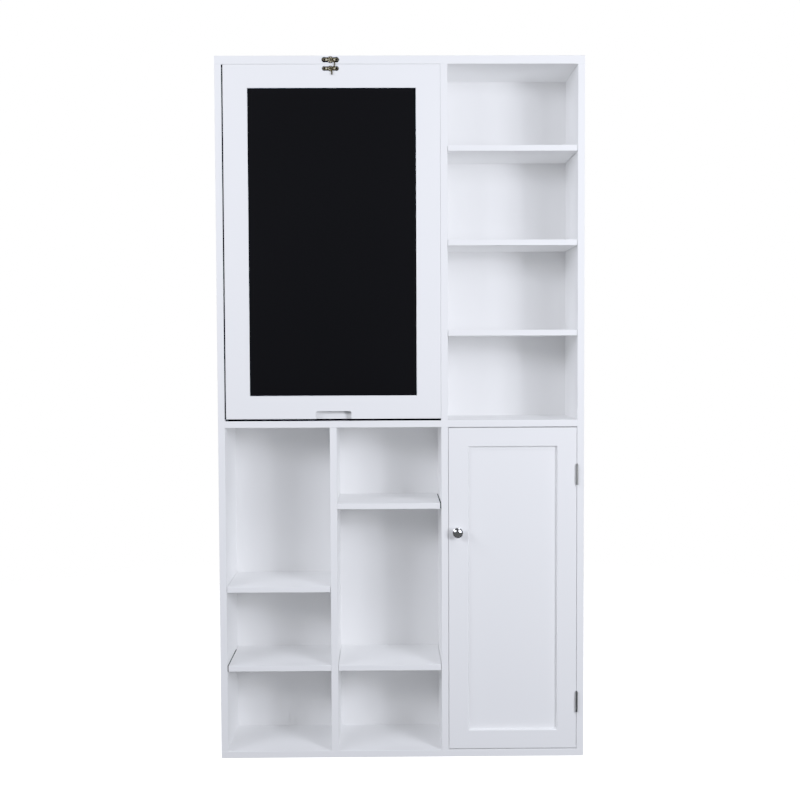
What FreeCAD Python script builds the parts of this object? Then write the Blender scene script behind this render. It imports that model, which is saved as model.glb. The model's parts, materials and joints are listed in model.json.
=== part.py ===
import FreeCAD, Part
import math
import os

# Fold-down desk in a two-module storage tower, in millimetres.
# The origin is the centre of the base panel's underside. X runs to the right, Y to the rear, Z up.

# Case boards and clear spaces
case_width = 800.0
case_depth = 180.0
side_board = 15.0
divider_board = 15.0
base_board = 15.0
mid_board = 15.0
top_board = 18.0
back_board = 3.0
back_inset = 1.0
lower_clear_height = 715.5
right_bay_width = 283.0
board_edge_round = 0.8
cut_overrun = 1.0

# Loose shelves, their levels as shares of the clear height of their bay, and their pins
shelf_board = 12.5
shelf_end_gap = 1.2
left_low_shelf_shift = 0.9
middle_high_shelf_shift = -0.9
shelf_setback = 0.5
display_shelf_shares = [0.239, 0.4935, 0.758]
left_bay_shelf_shares = [0.2488, 0.4934]
middle_bay_shelf_shares = [0.2488, 0.7491]
cupboard_shelf_shares = [0.32, 0.66]
cubby_shelf_clearance = 4.0
cupboard_shelf_clearance = 8.0
pin_radius = 2.5
pin_embed = 7.0
pin_reach = 8.0
pin_setback = 35.0
pin_stagger = 8.0
pin_clearance = 0.05

# Joinery, with its stations as shares of the case depth to each side of the middle
dowel_radius = 4.0
dowel_half_length = 10.0
dowel_station_share = 0.17
fitting_station_share = 0.31
module_dowel_share = 0.42
case_screw_radius = 2.5
case_screw_head_radius = 5.0
case_screw_head_height = 3.0
case_screw_length = 50.0
cam_bolt_radius = 3.0
cam_bolt_embed = 10.0
cam_disc_radius = 7.5
cam_disc_height = 12.0
cam_setback = 32.0
nail_radius = 0.9
nail_length = 15.0
nail_spacing = 150.0
nail_margin = 40.0

# Wall fixing rail and the stops that the closed flap meets
rail_board = 15.0
rail_height = 60.0
wall_hole_radius = 3.0
wall_hole_spacing = 300.0
stop_width = 12.0
stop_depth = 18.0
stop_height = 30.0
stop_clearance = 0.3

# Flap: the outer framed layer is the leg, the inner layer is the desk top
flap_gap_left = 3.0
flap_gap_right = 0.5
flap_gap_top = 0.5
leg_board = 15.0
leg_stile_width = 52.0
leg_rail_width = 50.0
leg_head = 5.0
leg_foot_clearance = 0.5
leg_sill_clearance = 0.5
chalkboard_thickness = 6.0
chalkboard_recess = 2.0
chalkboard_groove = 6.0
notch_width = 78.0
notch_height = 17.0
notch_round = 5.0
desk_board = 15.0
layer_gap = 0.5

# Continuous desk hinge
desk_hinge_radius = 1.9
desk_hinge_pin_radius = 0.9
desk_hinge_leaf = 0.9
desk_hinge_setback = 2.0
desk_hinge_end_gap = 4.0
desk_hinge_knuckle = 20.0
desk_hinge_fixed_width = 16.0
desk_hinge_screw_spacing = 80.0

# Leg hinges, between the end of the desk top and the leg's top rail
leg_hinge_length = 60.0
leg_hinge_knuckle = 12.0
leg_hinge_radius = 2.0
leg_hinge_pin_radius = 1.0
leg_hinge_leaf = 0.9
leg_hinge_seat = 1.2
leg_hinge_desk_width = 14.0
leg_hinge_leg_width = 22.0
leg_hinge_margin = 11.6
leg_hinge_screw_share = 0.3

# Cupboard door with a bevelled frame round its recessed panel
door_gap_left = 1.1
door_gap_right = 1.2
door_gap_top = 2.2
door_gap_bottom = 2.8
door_board = 15.0
door_stile_flat = 42.0
door_rail_flat = 40.0
door_bevel_width = 2.0
door_bevel_depth = 7.0
door_panel_thickness = 6.0
door_panel_groove = 8.0
door_hinge_length = 45.0
door_hinge_knuckle = 9.0
door_hinge_radius = 2.85
door_hinge_pin_radius = 1.3
door_hinge_proud_gap = 0.15
door_hinge_fold_clearance = 0.1
door_hinge_leaf_reach = 14.0
door_hinge_inset = 103.5
door_hinge_screw_share = 0.3

# Running clearances shared by all hinges
pin_running_clearance = 0.05
knuckle_end_clearance = 0.2
knuckle_relief = 0.3

# Small countersunk wood screws
wood_screw_radius = 1.2
wood_screw_head_radius = 2.4
wood_screw_length = 9.0

# Knob, its screw, and the magnetic catch with its strike plate
knob_setback = 18.9
knob_height = 500.0
knob_flange_radius = 8.0
knob_flange_height = 1.5
knob_neck_radius = 5.5
knob_neck_start = 4.0
knob_neck_end = 7.0
knob_radius = 12.0
knob_widest = 14.5
knob_rim_radius = 5.2
knob_rim_start_degrees = -60
knob_rim_end_degrees = 50
knob_projection = 22.0
knob_screw_radius = 2.0
knob_screw_grip = 10.0
knob_screw_head_radius = 4.0
knob_screw_head_height = 2.2
catch_length = 45.0
catch_height = 13.0
catch_depth = 14.0
catch_inset = 10.0
catch_gap = 0.2
strike_height = 9.0
strike_thickness = 1.0

# Hook latch
latch_offset = -2.0
latch_plate_thickness = 1.2
keeper_boss_radius = 7.5
keeper_lobe_radius = 6.0
keeper_neck_height = 11.0
hook_boss_radius = 6.3
hook_lobe_radius = 5.3
hook_neck_height = 9.6
latch_lobe_offset = 13.2
hook_plate_drop = 9.2
stud_radius = 1.6
stud_tip_proud = 0.6
hook_gap = 0.3
hook_thickness = 1.6
hook_width = 3.0
hook_hub_radius = 3.2
hook_jaw_radius = 3.8
hook_stud_clearance = 0.5
hook_tail_length = 14.0
hook_tail_width = 3.6
hook_tail_shift = 3.0
rivet_radius = 1.2
rivet_head_radius = 2.2
rivet_head_height = 0.8
rivet_head_gap = 0.15
rivet_embed = 4.0

axis_x = FreeCAD.Vector(1, 0, 0)
axis_y = FreeCAD.Vector(0, 1, 0)
axis_z = FreeCAD.Vector(0, 0, 1)

# Faces of the case
x_left = -case_width / 2
x_right = case_width / 2
inner_left = x_left + side_board
inner_right = x_right - side_board
divider_right_face = inner_right - right_bay_width
divider_left_face = divider_right_face - divider_board
bay_width = (divider_left_face - inner_left - divider_board) / 2
left_bay_end = inner_left + bay_width
middle_bay_start = left_bay_end + divider_board
y_front = -case_depth / 2
y_rear = case_depth / 2
z_base_top = base_board
z_mid_bottom = z_base_top + lower_clear_height
z_mid_top = z_mid_bottom + mid_board

# Axes of the flap: the leg is as long as it takes to stand on the floor when the desk is level
desk_axis_y = y_front + desk_hinge_setback
desk_axis_z = z_mid_top + desk_hinge_radius
leg_bottom = desk_axis_z + desk_hinge_radius + leg_sill_clearance
leg_back = y_front + leg_board
desk_front = leg_back + layer_gap
desk_back = desk_front + desk_board
leg_axis_y = leg_back + layer_gap / 2
leg_axis_z = leg_bottom + desk_axis_z + leg_axis_y - desk_axis_y - leg_foot_clearance
leg_top = leg_axis_z + leg_head
desk_bottom = desk_axis_z + desk_hinge_radius
desk_end = leg_axis_z - leg_hinge_seat
z_top_bottom = leg_top + flap_gap_top
z_top = z_top_bottom + top_board
upper_clear_height = z_top_bottom - z_mid_top
leg_left = inner_left + flap_gap_left
leg_right = divider_left_face - flap_gap_right
flap_centre = (leg_left + leg_right) / 2
latch_centre = flap_centre + latch_offset

# Edges of the cupboard door
door_left = divider_right_face + door_gap_left
door_right = inner_right - door_gap_right
door_bottom = z_base_top + door_gap_bottom
door_top = z_mid_bottom - door_gap_top
door_back = y_front + door_board

parts = {}


def block(x, y, z):
    """A box between two values along each axis."""
    corner = FreeCAD.Vector(x[0], y[0], z[0])
    return Part.makeBox(x[1] - x[0], y[1] - y[0], z[1] - z[0], corner)


def rod(radius, start, direction, length):
    return Part.makeCylinder(radius, length, start, direction)


def on_line(edge, direction, y):
    """True for a straight edge along a direction that lies in the plane at y."""
    if len(edge.Vertexes) != 2:
        return False
    first, last = [vertex.Point for vertex in edge.Vertexes]
    run = last - first
    in_plane = abs(first.y - y) < board_edge_round / 2 and abs(last.y - y) < board_edge_round / 2
    return in_plane and abs(run.normalize().dot(direction)) > 0.9


def eased(shape, directions):
    """The shape with its front edges along the given directions rounded."""
    face = shape.BoundBox.YMin
    edges = [edge for edge in shape.Edges if any(on_line(edge, run, face) for run in directions)]
    return shape.makeFillet(board_edge_round, edges)


def one_node(shapes):
    """All solids of some shapes as one node."""
    solids = [solid for shape in shapes for solid in shape.Solids]
    return solids[0] if len(solids) == 1 else Part.makeCompound(solids)


def sink(hosts, tools):
    """Cut each host by the fasteners and fittings that it holds."""
    for name in hosts:
        near = [tool for tool in tools if tool.BoundBox.intersect(parts[name].BoundBox)]
        if near:
            parts[name] = one_node([parts[name].cut(near)])


def countersunk_screw(point, direction, head_height):
    """A wood screw with its head flush at the point, driven along the direction."""
    head = Part.makeCone(wood_screw_head_radius, wood_screw_radius, head_height, point, direction)
    return head.fuse(rod(wood_screw_radius, point, direction, wood_screw_length)).removeSplitter()


def spread(start, end, spacing):
    """Evenly spaced places from start to end, about the given spacing apart."""
    count = max(1, round((end - start) / spacing))
    return [start + (end - start) * index / count for index in range(count + 1)]


def hinge(start, direction, length, knuckle, radius, pin_radius, fixed_plate, moving_plate):
    """The fixed leaf, moving leaf and pin of a butt or continuous hinge, from its two flat plates."""
    count = 2 * round((length / knuckle - 1) / 2) + 1
    pitch = length / count
    leaves = []
    for plate, own, bore_radius in (
        (fixed_plate, 0, pin_radius),
        (moving_plate, 1, pin_radius + pin_running_clearance),
    ):
        barrels = []
        reliefs = []
        for index in range(count):
            foot = start + direction * (index * pitch)
            if index % 2 == own:
                shortened = foot + direction * (knuckle_end_clearance / 2)
                barrels.append(rod(radius, shortened, direction, pitch - knuckle_end_clearance))
            else:
                reliefs.append(rod(radius + knuckle_relief, foot, direction, pitch))
        bore = rod(bore_radius, start - direction * cut_overrun, direction, length + 2 * cut_overrun)
        leaves.append(one_node([plate.cut(reliefs).fuse(barrels).cut(bore)]))
    return leaves[0], leaves[1], rod(pin_radius, start, direction, length)


def case_boards():
    depth = (y_front, y_rear)
    width = (x_left, x_right)
    upper_sides = (z_mid_bottom, z_top_bottom)
    lower_bays = (z_base_top, z_mid_bottom)
    parts["top_panel"] = eased(block(width, depth, (z_top_bottom, z_top)), [axis_x])
    parts["base_panel"] = eased(block(width, depth, (0, z_base_top)), [axis_x])
    parts["mid_panel"] = eased(block((inner_left, inner_right), depth, (z_mid_bottom, z_mid_top)), [axis_x])
    uprights = {
        "upper_left_side": (x_left, inner_left, upper_sides),
        "upper_right_side": (inner_right, x_right, upper_sides),
        "upper_divider": (divider_left_face, divider_right_face, (z_mid_top, z_top_bottom)),
        "lower_left_side": (x_left, inner_left, lower_bays),
        "lower_right_side": (inner_right, x_right, lower_bays),
        "lower_left_divider": (left_bay_end, middle_bay_start, lower_bays),
        "lower_right_divider": (divider_left_face, divider_right_face, lower_bays),
    }
    for name, (low, high, height) in uprights.items():
        parts[name] = eased(block((low, high), depth, height), [axis_z])
    back = (y_rear, y_rear + back_board)
    back_width = (x_left + back_inset, x_right - back_inset)
    parts["upper_back_panel"] = block(back_width, back, (z_mid_bottom, z_top - back_inset))
    parts["lower_back_panel"] = block(back_width, back, (back_inset, z_mid_bottom))
    rail_depth = (y_rear - rail_board, y_rear)
    rail_span = (inner_left, divider_left_face)
    parts["wall_fixing_rail"] = block(rail_span, rail_depth, (z_top_bottom - rail_height, z_top_bottom))
    return list(uprights)


def shelf(bay, front, underside, shift):
    """One loose shelf, slotted from below over the four pins that carry it, so that no pin shows."""
    left, right = bay
    board = block(
        (left + shelf_end_gap + shift, right - shelf_end_gap + shift),
        (front, y_rear),
        (underside, underside + shelf_board),
    )
    pins = []
    slots = []
    pin_z = underside + pin_radius
    slot_radius = pin_radius + pin_clearance
    slot_reach = pin_reach + pin_clearance
    for base, direction, stagger in ((left, axis_x, 0), (right, -axis_x, pin_stagger)):
        slot_x = sorted((base, base + direction.x * slot_reach))
        for y in (front + pin_setback + stagger, y_rear - pin_setback - stagger):
            mouth = FreeCAD.Vector(base, y, pin_z)
            pins.append(rod(pin_radius, mouth - direction * pin_embed, direction, pin_embed + pin_reach))
            slots.append(rod(slot_radius, mouth, direction, slot_reach))
            slot_y = (y - slot_radius, y + slot_radius)
            slots.append(block(slot_x, slot_y, (underside - cut_overrun, pin_z)))
    return one_node([eased(board, [axis_x]).cut(slots)]), pins


def shelves():
    left_bay = (inner_left, left_bay_end)
    middle_bay = (middle_bay_start, divider_left_face)
    right_bay = (divider_right_face, inner_right)
    desk_bay = (inner_left, divider_left_face)
    open_front = y_front + shelf_setback
    cubby_front = desk_back + cubby_shelf_clearance
    cupboard_front = door_back + cupboard_shelf_clearance
    lower = (z_base_top, lower_clear_height)
    upper = (z_mid_top, upper_clear_height)
    rows = (
        ("display_shelf", right_bay, open_front, upper, display_shelf_shares),
        ("left_bay_shelf", left_bay, open_front, lower, left_bay_shelf_shares),
        ("middle_bay_shelf", middle_bay, open_front, lower, middle_bay_shelf_shares),
        ("desk_cubby_shelves", desk_bay, cubby_front, upper, display_shelf_shares),
        ("cupboard_shelves", right_bay, cupboard_front, lower, cupboard_shelf_shares),
    )
    shifts = {"left_bay_shelf_1": left_low_shelf_shift, "middle_bay_shelf_2": middle_high_shelf_shift}
    all_pins = []
    for name, bay, front, (floor, clear), shares in rows:
        boards = []
        for index, share in enumerate(shares):
            shift = shifts.get(name + "_" + str(index + 1), 0)
            board, pins = shelf(bay, front, floor + clear * share, shift)
            boards.append(board)
            all_pins += pins
        if name.endswith("shelves"):
            parts[name] = one_node(boards)
        else:
            for index, board in enumerate(boards):
                parts[name + "_" + str(index + 1)] = board
    parts["shelf_pins"] = one_node(all_pins)
    return all_pins


def stations(share):
    return (-case_depth * share, case_depth * share)


def dowel(x, y, z, direction):
    middle = FreeCAD.Vector(x, y, z)
    return rod(dowel_radius, middle - direction * dowel_half_length, direction, 2 * dowel_half_length)


def case_screw(x, y, z, direction):
    head = FreeCAD.Vector(x, y, z)
    cone = Part.makeCone(case_screw_head_radius, case_screw_radius, case_screw_head_height, head, direction)
    return cone.fuse(rod(case_screw_radius, head, direction, case_screw_length)).removeSplitter()


def joinery():
    """Dowels, case screws and cam fittings between the boards."""
    sides = (x_left + side_board / 2, x_right - side_board / 2)
    upper_divider_x = divider_left_face + divider_board / 2
    lower_dividers = (left_bay_end + divider_board / 2, upper_divider_x)
    dowels = []
    screws = []
    for y in stations(dowel_station_share):
        for x in sides + (upper_divider_x,):
            dowels.append(dowel(x, y, z_top_bottom, axis_z))
        dowels.append(dowel(upper_divider_x, y, z_mid_top, axis_z))
        for x in sides + lower_dividers:
            dowels.append(dowel(x, y, z_base_top, axis_z))
        for x in (inner_left, inner_right):
            dowels.append(dowel(x, y, z_mid_bottom + mid_board / 2, axis_x))
    for y in stations(fitting_station_share):
        for x in lower_dividers:
            dowels.append(dowel(x, y, z_mid_bottom, axis_z))
        for x in sides + (upper_divider_x,):
            screws.append(case_screw(x, y, z_top, -axis_z))
        for x in sides + lower_dividers:
            screws.append(case_screw(x, y, 0, axis_z))
    for y in stations(module_dowel_share):
        for x in sides:
            dowels.append(dowel(x, y, z_mid_bottom, axis_z))
    rail_y = y_rear - rail_board / 2
    for x in (inner_left, divider_left_face):
        dowels.append(dowel(x, rail_y, z_top_bottom - rail_height / 2, axis_x))
    cams = []
    for y in stations(fitting_station_share):
        for face, direction in ((inner_left, axis_x), (inner_right, -axis_x)):
            mouth = FreeCAD.Vector(face, y, z_mid_bottom + mid_board / 2)
            reach = cam_bolt_embed + cam_setback
            bolt = rod(cam_bolt_radius, mouth - direction * cam_bolt_embed, direction, reach)
            centre = FreeCAD.Vector(face, y, z_mid_bottom) + direction * cam_setback
            cams += [bolt, rod(cam_disc_radius, centre, axis_z, cam_disc_height).cut(bolt)]
    parts["dowels"] = one_node(dowels)
    parts["case_screws"] = one_node(screws)
    parts["cam_fittings"] = one_node(cams)
    return dowels + screws + cams


def back_nails():
    """Nails through the back panels into the rear edges of the boards, flush behind."""
    places = []
    across = spread(x_left + nail_margin, x_right - nail_margin, nail_spacing)
    for z in (base_board / 2, z_mid_bottom + mid_board / 2, z_top_bottom + top_board / 2):
        places += [(x, z) for x in across]
    uprights = (x_left + side_board / 2, divider_left_face + divider_board / 2, x_right - side_board / 2)
    lower_only = (left_bay_end + divider_board / 2,)
    lower_run = spread(z_base_top + nail_margin, z_mid_bottom - nail_margin, nail_spacing)
    upper_run = spread(z_mid_top + nail_margin, z_top_bottom - nail_margin, nail_spacing)
    places += [(x, z) for x in uprights + lower_only for z in lower_run]
    places += [(x, z) for x in uprights for z in upper_run]
    rear = y_rear + back_board
    nails = [rod(nail_radius, FreeCAD.Vector(x, rear, z), -axis_y, nail_length) for x, z in places]
    parts["back_panel_nails"] = one_node(nails)
    return nails


def wall_holes():
    """Two holes for wall screws through the fixing rail and the back panel behind it."""
    centre = (inner_left + divider_left_face) / 2
    z = z_top_bottom - rail_height / 2
    start_y = y_rear - rail_board - cut_overrun
    length = rail_board + back_board + 2 * cut_overrun
    tools = []
    for x in (centre - wall_hole_spacing / 2, centre + wall_hole_spacing / 2):
        tools.append(rod(wall_hole_radius, FreeCAD.Vector(x, start_y, z), axis_y, length))
    sink(["wall_fixing_rail", "upper_back_panel"], tools)


def flap_stops():
    """Blocks under the top panel that the back of the closed desk top meets."""
    depth = (desk_back + stop_clearance, desk_back + stop_clearance + stop_depth)
    height = (z_top_bottom - stop_height, z_top_bottom)
    left = block((inner_left, inner_left + stop_width), depth, height)
    right = block((divider_left_face - stop_width, divider_left_face), depth, height)
    parts["flap_stops"] = one_node([left, right])


def frame_pieces(prefix, blank, x, z, stile, rail):
    """Split a framed blank into two full-height stiles and the two rails between them."""
    depth = (blank.BoundBox.YMin - cut_overrun, blank.BoundBox.YMax + cut_overrun)
    low = z[0] - cut_overrun
    high = z[1] + cut_overrun
    between = (x[0] + stile, x[1] - stile)
    regions = {
        "left_stile": block((x[0] - cut_overrun, between[0]), depth, (low, high)),
        "right_stile": block((between[1], x[1] + cut_overrun), depth, (low, high)),
        "top_rail": block(between, depth, (z[1] - rail, high)),
        "bottom_rail": block(between, depth, (low, z[0] + rail)),
    }
    for name, region in regions.items():
        parts[prefix + name] = one_node([blank.common(region)])
    return [prefix + name for name in regions]


def finger_notch():
    """A notch in the leg's foot with two rounded upper corners."""
    left = flap_centre - notch_width / 2
    right = flap_centre + notch_width / 2
    depth = (y_front - cut_overrun, leg_back + cut_overrun)
    notch = block((left, right), depth, (leg_bottom - cut_overrun, leg_bottom + notch_height))
    top = notch.BoundBox.ZMax
    corners = []
    for edge in notch.Edges:
        first, last = [vertex.Point for vertex in edge.Vertexes]
        at_top = abs(first.z - top) < notch_round / 2 and abs(last.z - top) < notch_round / 2
        if at_top and abs(first.x - last.x) < notch_round:
            corners.append(edge)
    return notch.makeFillet(notch_round, corners)


def leg_frame():
    """The framed chalkboard: the flap's outer layer, which stands as the leg."""
    x = (leg_left, leg_right)
    z = (leg_bottom, leg_top)
    blank = eased(block(x, (y_front, leg_back), z), [axis_x, axis_z])
    opening_x = (leg_left + leg_stile_width, leg_right - leg_stile_width)
    opening_z = (leg_bottom + leg_rail_width, leg_top - leg_rail_width)
    through = (y_front - cut_overrun, leg_back + cut_overrun)
    board_y = (y_front + chalkboard_recess, y_front + chalkboard_recess + chalkboard_thickness)
    parts["chalkboard"] = block(
        (opening_x[0] - chalkboard_groove, opening_x[1] + chalkboard_groove),
        board_y,
        (opening_z[0] - chalkboard_groove, opening_z[1] + chalkboard_groove),
    )
    blank = blank.cut([block(opening_x, through, opening_z), finger_notch()])
    pieces = frame_pieces("leg_", blank, x, z, leg_stile_width, leg_rail_width)
    sink(pieces, [parts["chalkboard"]])


def desk_top():
    board = block((leg_left, leg_right), (desk_front, desk_back), (desk_bottom, desk_end))
    parts["desk_top"] = board


def desk_hinge():
    """Continuous hinge in the gap under the leg, its moving leaf screwed up into the desk top."""
    x = (leg_left + desk_hinge_end_gap, leg_right - desk_hinge_end_gap)
    start = FreeCAD.Vector(x[0], desk_axis_y, desk_axis_z)
    fixed = block(
        x,
        (desk_axis_y, desk_axis_y + desk_hinge_fixed_width),
        (z_mid_top, z_mid_top + desk_hinge_leaf),
    )
    moving = block(x, (desk_axis_y, desk_back), (desk_bottom - desk_hinge_leaf, desk_bottom))
    leaves = hinge(
        start,
        axis_x,
        x[1] - x[0],
        desk_hinge_knuckle,
        desk_hinge_radius,
        desk_hinge_pin_radius,
        fixed,
        moving,
    )
    names = ("desk_hinge_fixed_leaf", "desk_hinge_moving_leaf", "desk_hinge_pin")
    parts.update(zip(names, leaves))
    margin = desk_hinge_screw_spacing / 2
    places = spread(x[0] + margin, x[1] - margin, desk_hinge_screw_spacing)
    fixed_y = desk_axis_y + (desk_hinge_radius + desk_hinge_fixed_width) / 2
    moving_y = (desk_front + desk_back) / 2
    fixed_z = z_mid_top + desk_hinge_leaf
    moving_z = desk_bottom - desk_hinge_leaf
    fixed_screws = []
    moving_screws = []
    for place in places:
        down = FreeCAD.Vector(place, fixed_y, fixed_z)
        up = FreeCAD.Vector(place, moving_y, moving_z)
        fixed_screws.append(countersunk_screw(down, -axis_z, desk_hinge_leaf))
        moving_screws.append(countersunk_screw(up, axis_z, desk_hinge_leaf))
    return fixed_screws, moving_screws


def leg_hinges():
    """Butt hinges that carry the leg's top rail on the end of the desk top."""
    from_end = leg_stile_width + leg_hinge_margin + leg_hinge_length / 2
    desk_leaves = []
    leg_leaves = []
    pins = []
    desk_screws = []
    leg_screws = []
    for centre in (leg_left + from_end, leg_right - from_end):
        x = (centre - leg_hinge_length / 2, centre + leg_hinge_length / 2)
        start = FreeCAD.Vector(x[0], leg_axis_y, leg_axis_z)
        desk_y = (leg_axis_y, leg_axis_y + leg_hinge_desk_width)
        on_desk = block(x, desk_y, (desk_end, desk_end + leg_hinge_leaf))
        leg_z = (leg_axis_z - leg_hinge_leg_width, leg_axis_z)
        on_leg = block(x, (leg_back - leg_hinge_leaf, leg_back), leg_z)
        desk_leaf, leg_leaf, pin = hinge(
            start,
            axis_x,
            leg_hinge_length,
            leg_hinge_knuckle,
            leg_hinge_radius,
            leg_hinge_pin_radius,
            on_desk,
            on_leg,
        )
        desk_leaves.append(desk_leaf)
        leg_leaves.append(leg_leaf)
        pins.append(pin)
        room = rod(leg_hinge_radius + knuckle_relief, start, axis_x, leg_hinge_length)
        sink(["desk_top", "leg_top_rail"], [room])
        sink(["leg_top_rail"], [on_leg])
        for side in (-leg_hinge_length, leg_hinge_length):
            place = centre + side * leg_hinge_screw_share
            desk_y = leg_axis_y + (leg_hinge_radius + leg_hinge_desk_width) / 2
            leg_z = leg_axis_z - (leg_hinge_radius + leg_hinge_leg_width) / 2
            down = FreeCAD.Vector(place, desk_y, desk_end + leg_hinge_leaf)
            forward = FreeCAD.Vector(place, leg_back, leg_z)
            desk_screws.append(countersunk_screw(down, -axis_z, leg_hinge_leaf))
            leg_screws.append(countersunk_screw(forward, -axis_y, leg_hinge_leaf))
    parts["leg_hinge_desk_leaves"] = one_node(desk_leaves)
    parts["leg_hinge_leg_leaves"] = one_node(leg_leaves)
    parts["leg_hinge_pins"] = one_node(pins)
    return desk_screws, leg_screws


def lobed_plate(z, boss, lobe, neck):
    """A latch plate: a round boss between two small lobes, joined by a neck."""
    back = FreeCAD.Vector(latch_centre, y_front, z)
    shape = rod(boss, back, -axis_y, latch_plate_thickness)
    depth = (y_front - latch_plate_thickness, y_front)
    arms = (latch_centre - latch_lobe_offset, latch_centre + latch_lobe_offset)
    shape = shape.fuse(block(arms, depth, (z - neck / 2, z + neck / 2)))
    for x in arms:
        lobe_back = FreeCAD.Vector(x, y_front, z)
        shape = shape.fuse(rod(lobe, lobe_back, -axis_y, latch_plate_thickness))
    return shape.removeSplitter()


def latch():
    """Keeper plate with its stud on the top panel, hook plate on the leg, and the hook on its rivet."""
    keeper_z = z_top_bottom + top_board / 2
    hub_z = leg_top - hook_plate_drop
    plate_face = y_front - latch_plate_thickness
    hook_back = plate_face - hook_gap
    stud_length = hook_gap + hook_thickness + stud_tip_proud
    stud = rod(stud_radius, FreeCAD.Vector(latch_centre, plate_face, keeper_z), -axis_y, stud_length)
    keeper = lobed_plate(keeper_z, keeper_boss_radius, keeper_lobe_radius, keeper_neck_height)
    parts["latch_keeper_plate"] = keeper.fuse(stud)
    parts["latch_hook_plate"] = lobed_plate(hub_z, hook_boss_radius, hook_lobe_radius, hook_neck_height)
    depth = (hook_back - hook_thickness, hook_back)
    bow_radius = (keeper_z - hub_z) / 2
    bow_centre = FreeCAD.Vector(latch_centre, hook_back, (keeper_z + hub_z) / 2)
    bow = rod(bow_radius + hook_width / 2, bow_centre, -axis_y, hook_thickness)
    bow = bow.cut(rod(bow_radius - hook_width / 2, bow_centre, -axis_y, hook_thickness))
    reach = bow_radius + hook_width
    right_half = block(
        (latch_centre, latch_centre + reach),
        (depth[0] - cut_overrun, depth[1] + cut_overrun),
        (bow_centre.z - reach, bow_centre.z + reach),
    )
    hub = FreeCAD.Vector(latch_centre, hook_back, hub_z)
    jaw = FreeCAD.Vector(latch_centre, hook_back, keeper_z)
    tail_centre = latch_centre + hook_tail_shift
    tail_end = FreeCAD.Vector(tail_centre, hook_back, hub_z - hook_tail_length + hook_tail_width / 2)
    tail_x = (tail_centre - hook_tail_width / 2, tail_centre + hook_tail_width / 2)
    hook = bow.common(right_half).fuse([
        rod(hook_hub_radius, hub, -axis_y, hook_thickness),
        rod(hook_jaw_radius, jaw, -axis_y, hook_thickness),
        block(tail_x, depth, (tail_end.z, hub_z)),
        rod(hook_tail_width / 2, tail_end, -axis_y, hook_thickness),
    ])
    throat = stud_radius + hook_stud_clearance
    slot = block(
        (latch_centre - hook_jaw_radius - cut_overrun, latch_centre),
        (depth[0] - cut_overrun, depth[1] + cut_overrun),
        (keeper_z - throat, keeper_z + throat),
    )
    through = hook_thickness + 2 * cut_overrun
    jaw_front = jaw + axis_y * cut_overrun
    hub_front = hub + axis_y * cut_overrun
    hook = hook.cut([
        slot,
        rod(throat, jaw_front, -axis_y, through),
        rod(rivet_radius + pin_running_clearance, hub_front, -axis_y, through),
    ])
    parts["latch_hook"] = one_node([hook.removeSplitter()])
    shank_start = FreeCAD.Vector(latch_centre, y_front + rivet_embed, hub_z)
    shank_length = rivet_embed + latch_plate_thickness + hook_gap + hook_thickness + rivet_head_gap
    head_start = shank_start - axis_y * shank_length
    rivet = rod(rivet_radius, shank_start, -axis_y, shank_length + rivet_head_height)
    parts["latch_rivet"] = rivet.fuse(rod(rivet_head_radius, head_start, -axis_y, rivet_head_height))
    screws = {}
    for key, z in (("keeper", keeper_z), ("hook", hub_z)):
        screws[key] = []
        for x in (latch_centre - latch_lobe_offset, latch_centre + latch_lobe_offset):
            place = FreeCAD.Vector(x, plate_face, z)
            screws[key].append(countersunk_screw(place, axis_y, latch_plate_thickness))
    sink(["latch_hook_plate", "leg_top_rail"], [parts["latch_rivet"]])
    return screws["keeper"], screws["hook"]


def rectangle(x, z, y):
    corners = [(x[0], z[0]), (x[1], z[0]), (x[1], z[1]), (x[0], z[1]), (x[0], z[0])]
    return Part.makePolygon([FreeCAD.Vector(px, y, pz) for px, pz in corners])


def inset(span, amount):
    return (span[0] + amount, span[1] - amount)


def cupboard_door():
    """Inset door: stiles and rails with a bevel round a recessed panel."""
    x = (door_left, door_right)
    z = (door_bottom, door_top)
    stile_width = door_stile_flat + door_bevel_width
    rail_width = door_rail_flat + door_bevel_width
    bevel_y = y_front + door_bevel_depth
    blank = eased(block(x, (y_front, door_back), z), [axis_x, axis_z])
    outer = rectangle(inset(x, door_stile_flat), inset(z, door_rail_flat), y_front)
    inner = rectangle(inset(x, stile_width), inset(z, rail_width), bevel_y)
    bevel = Part.makeLoft([outer, inner], True, True)
    straight = block(inset(x, stile_width), (bevel_y, door_back + cut_overrun), inset(z, rail_width))
    panel_x = inset(x, stile_width - door_panel_groove)
    panel_y = (bevel_y, bevel_y + door_panel_thickness)
    panel_z = inset(z, rail_width - door_panel_groove)
    parts["door_panel"] = block(panel_x, panel_y, panel_z)
    blank = blank.cut([bevel, straight])
    pieces = frame_pieces("door_", blank, x, z, stile_width, rail_width)
    sink(pieces, [parts["door_panel"]])


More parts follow.
